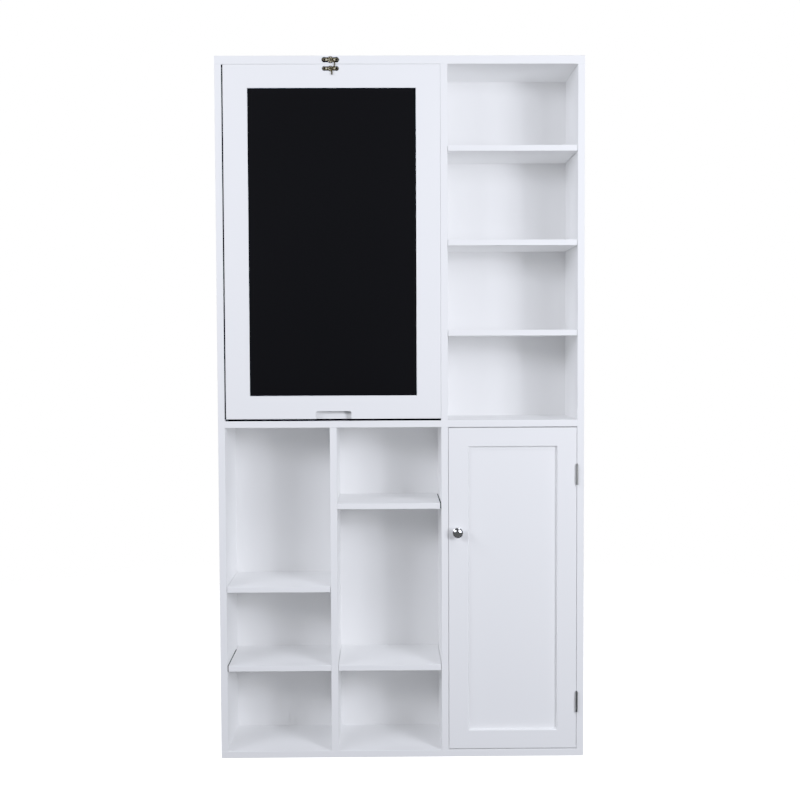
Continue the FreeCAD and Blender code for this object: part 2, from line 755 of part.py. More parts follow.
def door_hinges():
    """Two butt hinges with their knuckles proud of the front, in the gap at the door's right."""
    axis_at_x = (door_right + inner_right) / 2
    axis_at_y = y_front - door_hinge_radius - door_hinge_proud_gap
    depth = (axis_at_y, y_front + door_hinge_leaf_reach)
    fixed_leaves = []
    moving_leaves = []
    pins = []
    fixed_screws = []
    moving_screws = []
    for centre in (door_bottom + door_hinge_inset, door_top - door_hinge_inset):
        z = (centre - door_hinge_length / 2, centre + door_hinge_length / 2)
        fixed = block((axis_at_x + door_hinge_fold_clearance, inner_right), depth, z)
        moving = block((door_right, axis_at_x - door_hinge_fold_clearance), depth, z)
        fixed_leaf, moving_leaf, pin = hinge(
            FreeCAD.Vector(axis_at_x, axis_at_y, z[0]),
            axis_z,
            door_hinge_length,
            door_hinge_knuckle,
            door_hinge_radius,
            door_hinge_pin_radius,
            fixed,
            moving,
        )
        fixed_leaves.append(fixed_leaf)
        moving_leaves.append(moving_leaf)
        pins.append(pin)
        screw_y = y_front + door_hinge_leaf_reach / 2
        leaf = inner_right - axis_at_x - door_hinge_fold_clearance
        for side in (-door_hinge_length, door_hinge_length):
            place_z = centre + side * door_hinge_screw_share
            to_side = FreeCAD.Vector(inner_right - leaf, screw_y, place_z)
            to_door = FreeCAD.Vector(door_right + leaf, screw_y, place_z)
            fixed_screws.append(countersunk_screw(to_side, axis_x, leaf))
            moving_screws.append(countersunk_screw(to_door, -axis_x, leaf))
    parts["door_hinge_fixed_leaves"] = one_node(fixed_leaves)
    parts["door_hinge_moving_leaves"] = one_node(moving_leaves)
    parts["door_hinge_pins"] = one_node(pins)
    return fixed_screws, moving_screws


def knob():
    """A turned knob on the door's left stile and the screw that holds it from behind."""
    x = door_left + knob_setback

    def at(radius, height):
        return FreeCAD.Vector(x + radius, y_front - height, knob_height)

    def arc(first, middle, last):
        return Part.Arc(at(*first), at(*middle), at(*last)).toShape()

    def line(first, last):
        return Part.makeLine(at(*first), at(*last))

    def on_rim(degrees):
        turn = math.radians(degrees)
        reach = knob_radius - knob_rim_radius + knob_rim_radius * math.cos(turn)
        return (reach, knob_widest + knob_rim_radius * math.sin(turn))

    foot = (knob_flange_radius, knob_flange_height)
    neck = (knob_neck_radius, knob_neck_start)
    neck_end = (knob_neck_radius, knob_neck_end)
    throat = ((foot[0] + 3 * neck[0]) / 4, (foot[1] + neck[1]) / 2)
    shoulder = on_rim(knob_rim_start_degrees)
    cap_edge = on_rim(knob_rim_end_degrees)
    cap_rise = knob_projection - cap_edge[1]
    cap_radius = (cap_edge[0]**2 + cap_rise**2) / (2 * cap_rise)
    half_way = cap_edge[0] / 2
    cap_middle = (half_way, knob_projection - cap_radius + math.sqrt(cap_radius**2 - half_way**2))
    profile = Part.Wire([
        line((0, 0), (knob_flange_radius, 0)),
        line((knob_flange_radius, 0), foot),
        arc(foot, throat, neck),
        line(neck, neck_end),
        line(neck_end, shoulder),
        arc(shoulder, on_rim(0), cap_edge),
        arc(cap_edge, cap_middle, (0, knob_projection)),
        line((0, knob_projection), (0, 0)),
    ])
    turned = Part.Face(profile).revolve(at(0, 0), -axis_y, 360)
    shank_start = FreeCAD.Vector(x, door_back, knob_height)
    screw = rod(knob_screw_radius, shank_start, -axis_y, door_board + knob_screw_grip)
    head = rod(knob_screw_head_radius, shank_start, axis_y, knob_screw_head_height)
    screw = screw.fuse(head)
    parts["door_knob"] = one_node([turned.cut(screw)])
    sink(["door_left_stile"], [screw])
    return screw


def magnetic_catch():
    """Catch under the mid panel at the door's free side, and its strike plate on the door."""
    x = (door_left + catch_inset, door_left + catch_inset + catch_length)
    strike_back = door_back + strike_thickness
    catch_y = (strike_back + catch_gap, strike_back + catch_gap + catch_depth)
    parts["magnetic_catch"] = block(x, catch_y, (z_mid_bottom - catch_height, z_mid_bottom))
    strike_top = door_top - (catch_height - strike_height) / 2
    parts["strike_plate"] = block(x, (door_back, strike_back), (strike_top - strike_height, strike_top))
    screw_z = strike_top - strike_height / 2
    screws = []
    for share in (1, 3):
        place = FreeCAD.Vector(x[0] + catch_length * share / 4, strike_back, screw_z)
        screws.append(countersunk_screw(place, -axis_y, strike_thickness))
    return screws


def build():
    uprights = case_boards()
    pins = shelves()
    fittings = joinery()
    boards = uprights + ["top_panel", "base_panel", "mid_panel", "wall_fixing_rail"]
    sink(boards, pins + fittings)
    nails = back_nails()
    sink(boards + ["upper_back_panel", "lower_back_panel"], nails)
    wall_holes()
    flap_stops()
    leg_frame()
    desk_top()
    fold_fixed, fold_moving = desk_hinge()
    leg_desk, leg_own = leg_hinges()
    keeper_screws, hook_screws = latch()
    cupboard_door()
    swing_fixed, swing_moving = door_hinges()
    knob_screw = knob()
    strike_screws = magnetic_catch()
    screw_sets = {
        "carcass_hardware_screws": (
            fold_fixed + swing_fixed + keeper_screws,
            ["mid_panel", "lower_right_side", "top_panel", "desk_hinge_fixed_leaf",
             "door_hinge_fixed_leaves", "latch_keeper_plate"],
        ),
        "desk_hardware_screws": (
            fold_moving + leg_desk,
            ["desk_top", "desk_hinge_moving_leaf", "leg_hinge_desk_leaves"],
        ),
        "leg_hardware_screws": (
            leg_own + hook_screws,
            ["leg_top_rail", "leg_hinge_leg_leaves", "latch_hook_plate"],
        ),
        "door_hardware_screws": (
            swing_moving + strike_screws + [knob_screw],
            ["door_right_stile", "door_top_rail", "door_left_stile", "door_hinge_moving_leaves",
             "strike_plate"],
        ),
    }
    for name, (screws, hosts) in screw_sets.items():
        sink(hosts, screws)
        parts[name] = one_node(screws)


build()
os.makedirs("parts", exist_ok=True)
for node, shape in parts.items():
    shape.exportStep(os.path.join("parts", node + ".step"))
print("nodes", len(parts), "height", z_top, "desk surface", desk_axis_z + desk_back - desk_axis_y)
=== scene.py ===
import json
import math

import bmesh
import bpy
from mathutils import Matrix, Vector


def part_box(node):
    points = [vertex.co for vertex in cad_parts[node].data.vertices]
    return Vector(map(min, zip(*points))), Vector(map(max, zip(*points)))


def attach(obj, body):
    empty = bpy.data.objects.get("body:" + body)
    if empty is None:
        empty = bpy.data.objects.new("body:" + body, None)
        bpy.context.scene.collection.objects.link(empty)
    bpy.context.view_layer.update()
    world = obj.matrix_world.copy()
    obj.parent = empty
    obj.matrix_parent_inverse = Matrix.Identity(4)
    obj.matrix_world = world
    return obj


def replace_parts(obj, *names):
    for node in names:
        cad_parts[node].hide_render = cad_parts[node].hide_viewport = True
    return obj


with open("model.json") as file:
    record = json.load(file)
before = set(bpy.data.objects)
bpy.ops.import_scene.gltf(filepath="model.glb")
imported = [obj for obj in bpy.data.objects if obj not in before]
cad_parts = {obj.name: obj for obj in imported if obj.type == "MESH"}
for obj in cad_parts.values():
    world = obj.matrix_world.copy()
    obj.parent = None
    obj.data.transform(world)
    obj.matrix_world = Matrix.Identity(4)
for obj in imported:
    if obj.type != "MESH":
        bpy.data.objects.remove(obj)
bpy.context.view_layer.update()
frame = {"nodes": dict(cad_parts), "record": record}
nodes = frame["nodes"]
scene = bpy.context.scene
mm = 0.001  # metres in a millimetre
cadMerge, meshMerge = 1e-6, 1e-7  # metres, corners closer than this become one
upward, rightward, rearward = Vector((0, 0, 1)), Vector((1, 0, 0)), Vector((0, 1, 0))
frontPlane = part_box("top_panel")[0].y  # the front faces of the case, the flap and the door


def linear(code):  # sRGB hex to the linear RGBA that shaders want
    values = [int(code[i:i + 2], 16) / 255 for i in (1, 3, 5)]
    return [v / 12.92 if v <= 0.04045 else ((v + 0.055) / 1.055) ** 2.4 for v in values] + [1.0]


def setNode(tree, node, settings, links):  # settings or input values, and what feeds the node
    for key, value in settings.items():
        if isinstance(key, int) or key in node.inputs:
            node.inputs[key].default_value = value
        else:
            setattr(node, key, value)
    for key, sources in links.items():
        for source in sources if isinstance(sources, list) else [sources]:
            socket = source if isinstance(source, bpy.types.NodeSocket) else source.outputs[0]
            tree.links.new(socket, node.inputs[key])
    return node


def addNode(tree, kind, settings, links=None):  # a new node, fed by sockets or by other nodes' first outputs
    return setNode(tree, tree.nodes.new(kind), settings, links or {})


def newMaterial(name):  # a material with its tree, its shader and the object's own coordinates
    material = bpy.data.materials.new(name)
    material.use_nodes = True
    tree = material.node_tree
    place = addNode(tree, "ShaderNodeTexCoord", {}).outputs["Object"]
    return material, tree, tree.nodes["Principled BSDF"], place


lacquer = {
    "coat": "#f8f8f7",
    "thin": "#f5f6f6",  # where the sprayed coat is a little thinner
    "cloudSize": 220,  # mm
    "peelSize": 4.5,  # mm, real orange peel is about 1.5 mm and would not show
    "peelDepth": 0.02,  # mm
    "roughness": (0.36, 0.48),
}


def satinLacquerOnFibreboard():  # sprayed and cured: even white, soft broad highlights, slight orange peel
    material, tree, shader, place = newMaterial("satinLacquerOnFibreboard")
    cloud = addNode(tree, "ShaderNodeTexNoise", {"Scale": 1 / (lacquer["cloudSize"] * mm), "Detail": 3.0},
                    {"Vector": place})
    peel = addNode(tree, "ShaderNodeTexNoise", {"Scale": 1 / (lacquer["peelSize"] * mm), "Detail": 1.0},
                   {"Vector": place})
    colour = addNode(tree, "ShaderNodeMix",
                     {"data_type": "RGBA", 6: linear(lacquer["coat"]), 7: linear(lacquer["thin"])},
                     {0: cloud})
    low, high = lacquer["roughness"]
    gloss = addNode(tree, "ShaderNodeMapRange", {"To Min": low, "To Max": high}, {"Value": cloud})
    bump = addNode(tree, "ShaderNodeBump", {"Strength": 0.6, "Distance": lacquer["peelDepth"] * mm},
                   {"Height": peel})
    setNode(tree, shader, {"IOR": 1.5}, {"Base Color": colour.outputs[2], "Roughness": gloss, "Normal": bump})
    return material


hardboard = {
    "paint": "#f1f1f0",
    "raw": "#8a6443",
    "rawDark": "#64452c",
    "rearPlane": 90.6,  # mm, behind this the panel is bare
    "screenPitch": 3.2,  # mm, the press screen's real pitch is about 1.6 mm and would not show
    "screenDepth": 0.15,  # mm
    "fibreSize": 7,  # mm, clumps of fibre
    "roughness": (0.5, 0.85),  # painted, bare
}


def paintedHardboard():  # pressed board: rolled white on the face, bare brown with the screen's print behind
    material, tree, shader, place = newMaterial("paintedHardboard")
    depth = addNode(tree, "ShaderNodeSeparateXYZ", {}, {0: place})
    bare = addNode(tree, "ShaderNodeMath", {"operation": "GREATER_THAN", 1: hardboard["rearPlane"] * mm},
                   {0: depth.outputs["Y"]})
    fibre = addNode(tree, "ShaderNodeTexNoise",
                    {"Scale": 1 / (hardboard["fibreSize"] * mm), "Detail": 5.0, "Roughness": 0.7},
                    {"Vector": place})
    screen = addNode(tree, "ShaderNodeTexVoronoi",
                     {"feature": "F1", "distance": "CHEBYCHEV", "Randomness": 0.0,
                      "Scale": 1 / (hardboard["screenPitch"] * mm)}, {"Vector": place})
    brown = addNode(tree, "ShaderNodeMix",
                    {"data_type": "RGBA", 6: linear(hardboard["rawDark"]), 7: linear(hardboard["raw"])},
                    {0: fibre})
    colour = addNode(tree, "ShaderNodeMix", {"data_type": "RGBA", 6: linear(hardboard["paint"])},
                     {0: bare, 7: brown.outputs[2]})
    low, high = hardboard["roughness"]
    gloss = addNode(tree, "ShaderNodeMapRange", {"To Min": low, "To Max": high}, {"Value": bare})
    height = addNode(tree, "ShaderNodeMath", {"operation": "MULTIPLY"}, {0: screen, 1: bare})
    bump = addNode(tree, "ShaderNodeBump", {"Strength": 0.8, "Distance": hardboard["screenDepth"] * mm},
                   {"Height": height})
    setNode(tree, shader, {}, {"Base Color": colour.outputs[2], "Roughness": gloss, "Normal": bump})
    return material


chalk = {
    "paint": "#060607",
    "dust": "#080809",
    "cloudSize": 260,  # mm
    "gritSize": 2.0,  # mm, the real tooth is a few tenths of that and would not show
    "gritDepth": 0.02,  # mm
    "roughness": 0.5,
    "shine": 0.025,
}


def chalkboardPaint():  # rolled matt paint on hardboard: near black, dry, with a fine tooth
    material, tree, shader, place = newMaterial("chalkboardPaint")
    cloud = addNode(tree, "ShaderNodeTexNoise", {"Scale": 1 / (chalk["cloudSize"] * mm), "Detail": 4.0},
                    {"Vector": place})
    grit = addNode(tree, "ShaderNodeTexNoise", {"Scale": 1 / (chalk["gritSize"] * mm), "Detail": 2.0},
                   {"Vector": place})
    colour = addNode(tree, "ShaderNodeMix",
                     {"data_type": "RGBA", 6: linear(chalk["paint"]), 7: linear(chalk["dust"])}, {0: cloud})
    bump = addNode(tree, "ShaderNodeBump", {"Strength": 0.5, "Distance": chalk["gritDepth"] * mm},
                   {"Height": grit})
    setNode(tree, shader, {"Roughness": chalk["roughness"], "Specular IOR Level": chalk["shine"]},
            {"Base Color": colour.outputs[2], "Normal": bump})
    return material


# thin plating or a converted skin: a little uneven in tone and gloss, so that it isn't one flat mirror
def platedMetal(name, bright, dull, roughness, markSize, stretch=(1.0, 1.0, 1.0), metallic=1.0):
    material, tree, shader, place = newMaterial(name)
    drawn = addNode(tree, "ShaderNodeVectorMath", {"operation": "MULTIPLY", 1: stretch}, {0: place})
    # marks of drawing or tumbling, coarser than real ones, which would not show
    marks = addNode(tree, "ShaderNodeTexNoise", {"Scale": 1 / (markSize * mm), "Detail": 4.0},
                    {"Vector": drawn})
    colour = addNode(tree, "ShaderNodeMix", {"data_type": "RGBA", 6: linear(bright), 7: linear(dull)},
                     {0: marks})
    gloss = addNode(tree, "ShaderNodeMapRange", {"To Min": roughness[0], "To Max": roughness[1]},
                    {"Value": marks})
    setNode(tree, shader, {"Metallic": metallic, "Specular IOR Level": 0.5 * metallic},
            {"Base Color": colour.outputs[2], "Roughness": gloss})
    return material


patina = {
    "depths": (90.5, 93.1),  # mm in front of the centre plane
    "steps": ((90.6, "#080706"), (90.85, "#1a1814"), (91.0, "#6f6852"), (91.2, "#e6dcb9"), (91.6, "#454031"),
              (93.0, "#524c3b")),
    "tarnish": "#4b473c",
    "tarnishShare": 0.45,
    "spotSize": 1.6,  # mm
    "spotRange": (0.4, 0.7),
    "roughness": (0.32, 0.55),
}


def antiquedNickelCasting():  # cast, blackened, then rubbed so that only the relief is bright
    material, tree, shader, place = newMaterial("antiquedNickelCasting")
    depth = addNode(tree, "ShaderNodeSeparateXYZ", {}, {0: place})
    near, far = patina["depths"]
    height = addNode(tree, "ShaderNodeMapRange", {"From Min": -near * mm, "From Max": -far * mm},
                     {"Value": depth.outputs["Y"]})
    ramp = addNode(tree, "ShaderNodeValToRGB", {}, {0: height})
    stops = ramp.color_ramp.elements
    for i, (level, code) in enumerate(patina["steps"]):
        where = (level - near) / (far - near)
        stop = stops[i] if i < 2 else stops.new(where)
        stop.position = where
        stop.color = linear(code)
    spots = addNode(tree, "ShaderNodeTexNoise", {"Scale": 1 / (patina["spotSize"] * mm), "Detail": 3.0},
                    {"Vector": place})
    low, high = patina["spotRange"]
    amount = addNode(tree, "ShaderNodeMapRange",
                     {"From Min": low, "From Max": high, "To Max": patina["tarnishShare"]}, {"Value": spots})
    colour = addNode(tree, "ShaderNodeMix",
                     {"data_type": "RGBA", "blend_type": "MULTIPLY", 7: linear(patina["tarnish"])},
                     {0: amount, 6: ramp})
    low, high = patina["roughness"]
    gloss = addNode(tree, "ShaderNodeMapRange", {"To Min": low, "To Max": high}, {"Value": spots})
    setNode(tree, shader, {"Metallic": 1.0}, {"Base Color": colour.outputs[2], "Roughness": gloss})
    return material


beech = {
    "light": "#d8b384",
    "dark": "#b98a58",
    "grainSize": 6,  # mm along the grain, wider than real pores, which would not show
    "stretch": (1.0, 6.0, 6.0),
    "roughness": 0.6,
}


def turnedBeech():  # cut clean on a lathe: pale brown, fine straight grain, dry
    material, tree, shader, place = newMaterial("turnedBeech")
    drawn = addNode(tree, "ShaderNodeVectorMath", {"operation": "MULTIPLY", 1: beech["stretch"]}, {0: place})
    grain = addNode(tree, "ShaderNodeTexNoise", {"Scale": 1 / (beech["grainSize"] * mm), "Detail": 4.0},
                    {"Vector": drawn})
    colour = addNode(tree, "ShaderNodeMix",
                     {"data_type": "RGBA", 6: linear(beech["light"]), 7: linear(beech["dark"])}, {0: grain})
    setNode(tree, shader, {"Roughness": beech["roughness"]}, {"Base Color": colour.outputs[2]})
    return material


sparkDepth = 0.03  # mm


def moulded(name, light, shade, roughness, grainSize, shine=0.5):  # plastic or rubber with a spark texture
    material, tree, shader, place = newMaterial(name)
    # coarser than a real spark texture, which would not show
    grain = addNode(tree, "ShaderNodeTexNoise", {"Scale": 1 / (grainSize * mm), "Detail": 2.0},
                    {"Vector": place})
    colour = addNode(tree, "ShaderNodeMix", {"data_type": "RGBA", 6: linear(light), 7: linear(shade)},
                     {0: grain})
    bump = addNode(tree, "ShaderNodeBump", {"Strength": 0.4, "Distance": sparkDepth * mm}, {"Height": grain})
    setNode(tree, shader, {"Roughness": roughness, "Specular IOR Level": shine},
            {"Base Color": colour.outputs[2], "Normal": bump})
    return material


finishes = {
    "white_lacquered_board": satinLacquerOnFibreboard(),
    "white_hardboard": paintedHardboard(),
    "chalkboard_black": chalkboardPaint(),
    "beech_dowel": turnedBeech(),
    # tumbled: cool grey, half bright
    "zinc_plated_steel": platedMetal("brightZincPlate", "#c9ccd0", "#a9adb3", (0.25, 0.38), 2.5),
    # a converted skin, not bare metal: dull black without a mirror
    "blackened_steel": platedMetal("blackOxideSteel", "#0b0b0c", "#060607", (0.7, 0.8), 4.0, metallic=0.0),
    # brushed up and down: warm grey, silky
    "nickel_plated_steel": platedMetal("satinNickelPlate", "#9a9b97", "#787975", (0.28, 0.4), 1.5,
                                       (1.0, 1.0, 0.1)),
    # buffed: a clear cool mirror
    "chrome_plate": platedMetal("polishedChromePlate", "#e6e7e9", "#dcdee1", (0.05, 0.09), 3.0),
    "antique_nickel": antiquedNickelCasting(),
    # injection moulded: warm white, half matt
    "white_plastic": moulded("mouldedWhitePlastic", "#eceae6", "#e2e0dc", 0.45, 0.8),
    # pressed in a heated mould: mid grey, dull
    "grey_rubber": moulded("mouldedGreyRubber", "#5a5a5b", "#494a4b", 0.8, 0.9),
}
slotOf = {row["node"]: row["material_slot"] for row in frame["record"]["subparts"]}
for name, node in nodes.items():
    node.data.materials.clear()
    node.data.materials.append(finishes[slotOf[name]])
print("finishes made:", len(finishes))


def newTree(name, sizes):  # an empty geometry tree with its named sizes
    tree = bpy.data.node_groups.new(name, "GeometryNodeTree")
    tree.interface.new_socket("Geometry", in_out="INPUT", socket_type="NodeSocketGeometry")
    for label, value in sizes.items():
        kind = {int: "NodeSocketInt", float: "NodeSocketFloat", tuple: "NodeSocketVector"}[type(value)]
        tree.interface.new_socket(label, in_out="INPUT", socket_type=kind).default_value = value
    tree.interface.new_socket("Finish", in_out="INPUT", socket_type="NodeSocketMaterial")
    tree.interface.new_socket("Geometry", in_out="OUTPUT", socket_type="NodeSocketGeometry")
    return tree, addNode(tree, "NodeGroupInput", {}).outputs


def closeTree(tree, inputs, parts):  # joins the parts, realizes them and sets the finish
    joined = addNode(tree, "GeometryNodeJoinGeometry", {}, {0: parts})
    real = addNode(tree, "GeometryNodeRealizeInstances", {}, {0: joined})
    painted = addNode(tree, "GeometryNodeSetMaterial", {}, {"Geometry": real, "Material": inputs["Finish"]})
    addNode(tree, "NodeGroupOutput", {}, {0: painted})


def runTree(name, tree, source, values, slot):  # runs a tree on a source mesh and returns a plain mesh
    piece = bpy.data.objects.new(name, source)
    scene.collection.objects.link(piece)
    modifier = piece.modifiers.new("shape", "NODES")
    modifier.node_group = tree
    values = {**values, "Finish": finishes[slot]}
    for item in tree.interface.items_tree:
        if item.in_out == "INPUT" and item.name in values:
            modifier[item.identifier] = values[item.name]
    shaped = piece.evaluated_get(bpy.context.evaluated_depsgraph_get())
    mesh = bpy.data.meshes.new_from_object(shaped)
    mesh.name = name
    mesh.materials.clear()
    mesh.materials.append(finishes[slot])
    mesh.polygons.foreach_set("material_index", [0] * len(mesh.polygons))
    piece.modifiers.clear()
    bpy.data.objects.remove(piece)
    bpy.data.meshes.remove(source)
    return mesh


def meshFrom(work, name, finish):  # a finished bmesh as a mesh with its material
    mesh = bpy.data.meshes.new(name)
    work.to_mesh(mesh)
    work.free()
    mesh.materials.append(finish)
    return mesh


def spanOf(places):  # low and high corner
    low = Vector([min(p[i] for p in places) for i in range(3)])
    high = Vector([max(p[i] for p in places) for i in range(3)])
    return low, high


def middleOf(node):  # centre of a CAD node's box
    low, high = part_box(node)
    return (low + high) / 2


def addPiece(name, mesh, body):  # a finished mesh on its body
    piece = bpy.data.objects.new(name, mesh)
    scene.collection.objects.link(piece)
    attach(piece, body)
    return piece


def replaceNode(name, mesh, body, node):  # a finished mesh on its body, in place of its CAD node
    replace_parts(addPiece(name, mesh, body), node)
    low, high = spanOf([v.co for v in mesh.vertices])
    cadLow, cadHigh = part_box(node)
    print(name, "box against the CAD:", [round(v / mm, 2) for v in (*(low - cadLow), *(high - cadHigh))])


def solidsOf(name):  # corner places of each solid in a CAD node, in a fixed order
    work = bmesh.new()
    work.from_mesh(nodes[name].data)
    bmesh.ops.remove_doubles(work, verts=work.verts, dist=cadMerge)
    left = set(work.verts)
    solids = []
    for first in list(work.verts):
        if first not in left:
            continue
        left.discard(first)
        reached = [first]
        for vert in reached:
            for edge in vert.link_edges:
                other = edge.other_vert(vert)
                if other in left:
                    left.discard(other)
                    reached.append(other)
        solids.append([vert.co.copy() for vert in reached])
    work.free()
    return solids


screwSizes = {
    "Head Depth": 0.55,  # shares of the head radius, down to the recess
    "Shank": 0.5,
    "Rise": 0.02,
    "Recess Outer": 0.62,
    "Recess Inner": 0.17,
    "Recess Depth": 0.4,
    "Recess Points": 4,
    "Pan From": 3.2 * mm,  # heads with a larger radius are pan heads
    "Head Sides": 24,
    "Shank Sides": 16,
    "Seed": 7,
}
shankStart = 0.12  # share of the screw's length above the shank
shankFit = 0.98  # the shank's radius as a share of the Shank size
screwFacts = (  # attribute, its type and its field
    ("drive", "FLOAT_VECTOR", "vector"),
    ("headRadius", "FLOAT", "value"),
    ("reach", "FLOAT", "value"),
)


def screwPoints(name):  # a point at each screw's head, with its direction, head radius and length
    points = bpy.data.meshes.new(name + "Points")
    rows = []
    for places in solidsOf(name):
        low, high = spanOf(places)
        size = high - low
        along = max(range(3), key=lambda i: size[i])
        axis = Vector([float(i == along) for i in range(3)])
        middle = (low + high) / 2
        radii = []
        for end in (low, high):
            near = [p for p in places if abs(p[along] - end[along]) < 1e-5]  # the corners of that end
            radii.append(max((p - middle).cross(axis).length for p in near))
        sign = 1 if radii[0] > radii[1] else -1
        head = middle.copy()
        head[along] = low[along] if sign > 0 else high[along]
        rows.append((head, [sign if i == along else 0 for i in range(3)], max(radii), size[along]))
    points.from_pydata([row[0] for row in rows], [], [])
    for column, (label, kind, field) in enumerate(screwFacts, 1):
        layer = points.attributes.new(label, kind, "POINT")
        for i, row in enumerate(rows):
            setattr(layer.data[i], field, row[column])
    return points


def screwTree():  # countersunk or pan heads with a cross recess, each turned its own way
    tree, inputs = newTree("screwsFromPoints", screwSizes)
    drive, radius, reach = [
        addNode(tree, "GeometryNodeInputNamedAttribute", {"data_type": kind, "Name": label})
        for label, kind, field in screwFacts]
    turn = addNode(tree, "FunctionNodeAlignRotationToVector", {"axis": "Z"}, {"Vector": drive})
    pan = addNode(tree, "FunctionNodeCompare", {"data_type": "FLOAT", "operation": "GREATER_THAN"},
                  {0: radius, 1: inputs["Pan From"]})
    flat = addNode(tree, "FunctionNodeBooleanMath", {"operation": "NOT"}, {0: pan})
    edge = addNode(tree, "GeometryNodeCurvePrimitiveCircle", {"Radius": 1.0},
                   {"Resolution": inputs["Head Sides"]})
    star = addNode(tree, "GeometryNodeCurveStar", {}, {
        "Points": inputs["Recess Points"], "Inner Radius": inputs["Recess Inner"],
        "Outer Radius": inputs["Recess Outer"]})
    rings = addNode(tree, "GeometryNodeJoinGeometry", {}, {0: [edge, star]})
    fill = addNode(tree, "GeometryNodeFillCurve", {"mode": "TRIANGLES"}, {"Curve": rings})
    face = addNode(tree, "GeometryNodeFlipFaces", {}, {0: fill})
    spot = addNode(tree, "GeometryNodeFillCurve", {"mode": "NGONS"}, {"Curve": star})
    outward = addNode(tree, "GeometryNodeFlipFaces", {}, {0: spot})
    sink = addNode(tree, "ShaderNodeMath", {"operation": "MULTIPLY", 1: -1.0}, {0: inputs["Recess Depth"]})
    recess = addNode(tree, "GeometryNodeExtrudeMesh", {"Individual": False},
                     {"Mesh": outward, "Offset Scale": sink})
    cone = addNode(tree, "GeometryNodeMeshCone", {"fill_type": "NONE", "Radius Bottom": 1.0}, {
        "Vertices": inputs["Head Sides"], "Radius Top": inputs["Shank"], "Depth": inputs["Head Depth"]})
    drum = addNode(tree, "GeometryNodeMeshCone",
                   {"fill_type": "NONE", "Radius Bottom": 1.0, "Radius Top": 1.0},
                   {"Vertices": inputs["Head Sides"], "Depth": inputs["Head Depth"]})
    parts = []
    scale = addNode(tree, "ShaderNodeCombineXYZ", {}, {i: radius for i in range(3)})
    lift = addNode(tree, "ShaderNodeMath", {"operation": "MULTIPLY", 1: -1.0}, {0: inputs["Rise"]})
    raised = addNode(tree, "ShaderNodeCombineXYZ", {}, {2: lift})
    spin = addNode(tree, "FunctionNodeRandomValue", {"data_type": "FLOAT_VECTOR", "Max": (0.0, 0.0, math.pi)},
                   {"Seed": inputs["Seed"]})
    for chosen, side in ((flat, cone), (pan, drum)):
        head = addNode(tree, "GeometryNodeJoinGeometry", {}, {0: [face, recess, side]})
        placed = addNode(tree, "GeometryNodeTransform", {}, {"Geometry": head, "Translation": raised})
        heads = addNode(tree, "GeometryNodeInstanceOnPoints", {}, {
            "Points": inputs["Geometry"], "Selection": chosen, "Instance": placed, "Rotation": turn,
            "Scale": scale})
        parts.append(addNode(tree, "GeometryNodeRotateInstances", {"Local Space": True},
                             {"Instances": heads, "Rotation": spin}))
    rod = addNode(tree, "GeometryNodeMeshCone", {"Depth": 1.0}, {
        "Vertices": inputs["Shank Sides"], "Radius Bottom": inputs["Shank"], "Radius Top": inputs["Shank"]})
    below = addNode(tree, "GeometryNodeTransform", {"Translation": (0.0, 0.0, shankStart),
                                                    "Scale": (shankFit, shankFit, 1 - shankStart)},
                    {"Geometry": rod})
    stretched = addNode(tree, "ShaderNodeCombineXYZ", {}, {0: radius, 1: radius, 2: reach})
    parts.append(addNode(tree, "GeometryNodeInstanceOnPoints", {}, {
        "Points": inputs["Geometry"], "Instance": below, "Rotation": turn, "Scale": stretched}))
    closeTree(tree, inputs, parts)
    return tree


screws = screwTree()
screwRows = {
    "carcass_hardware_screws": ("carcassScrews", "carcass"),
    "desk_hardware_screws": ("deskScrews", "desk_leaf"),
    "leg_hardware_screws": ("legScrews", "leg_frame"),
    "door_hardware_screws": ("doorScrews", "cupboard_door"),
}
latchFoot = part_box("latch_hook")[0].z  # screws in the front face above this hold the latch
latchDepth = frontPlane + 10 * mm  # and lie in front of this
# blackened with the plates, hardly rubbed: dull near black
latchScrews = platedMetal("antiquedNickelScrews", "#2c2a25", "#1c1a17", (0.4, 0.55), 1.2)
for source, (name, body) in screwRows.items():
    mesh = runTree(name, screws, screwPoints(source), screwSizes, slotOf[source])
    mesh.materials.append(latchScrews)
    for face in mesh.polygons:
        if face.center.z > latchFoot and face.center.y < latchDepth:
            face.material_index = 1
    if not any(face.material_index for face in mesh.polygons):
        mesh.materials.pop(index=1)
    replaceNode(name, mesh, body, source)
print("screws placed:", len(screwRows), "groups")


def soften(mesh, sharpest=35):  # smooth shading, with edges sharper than this many degrees kept crisp
    work = bmesh.new()
    work.from_mesh(mesh)
    bmesh.ops.remove_doubles(work, verts=work.verts, dist=meshMerge)
    for face in work.faces:
        face.smooth = True
    for edge in work.edges:
        edge.smooth = len(edge.link_faces) == 2 and edge.calc_face_angle(0.0) < math.radians(sharpest)
    work.to_mesh(mesh)
    work.free()


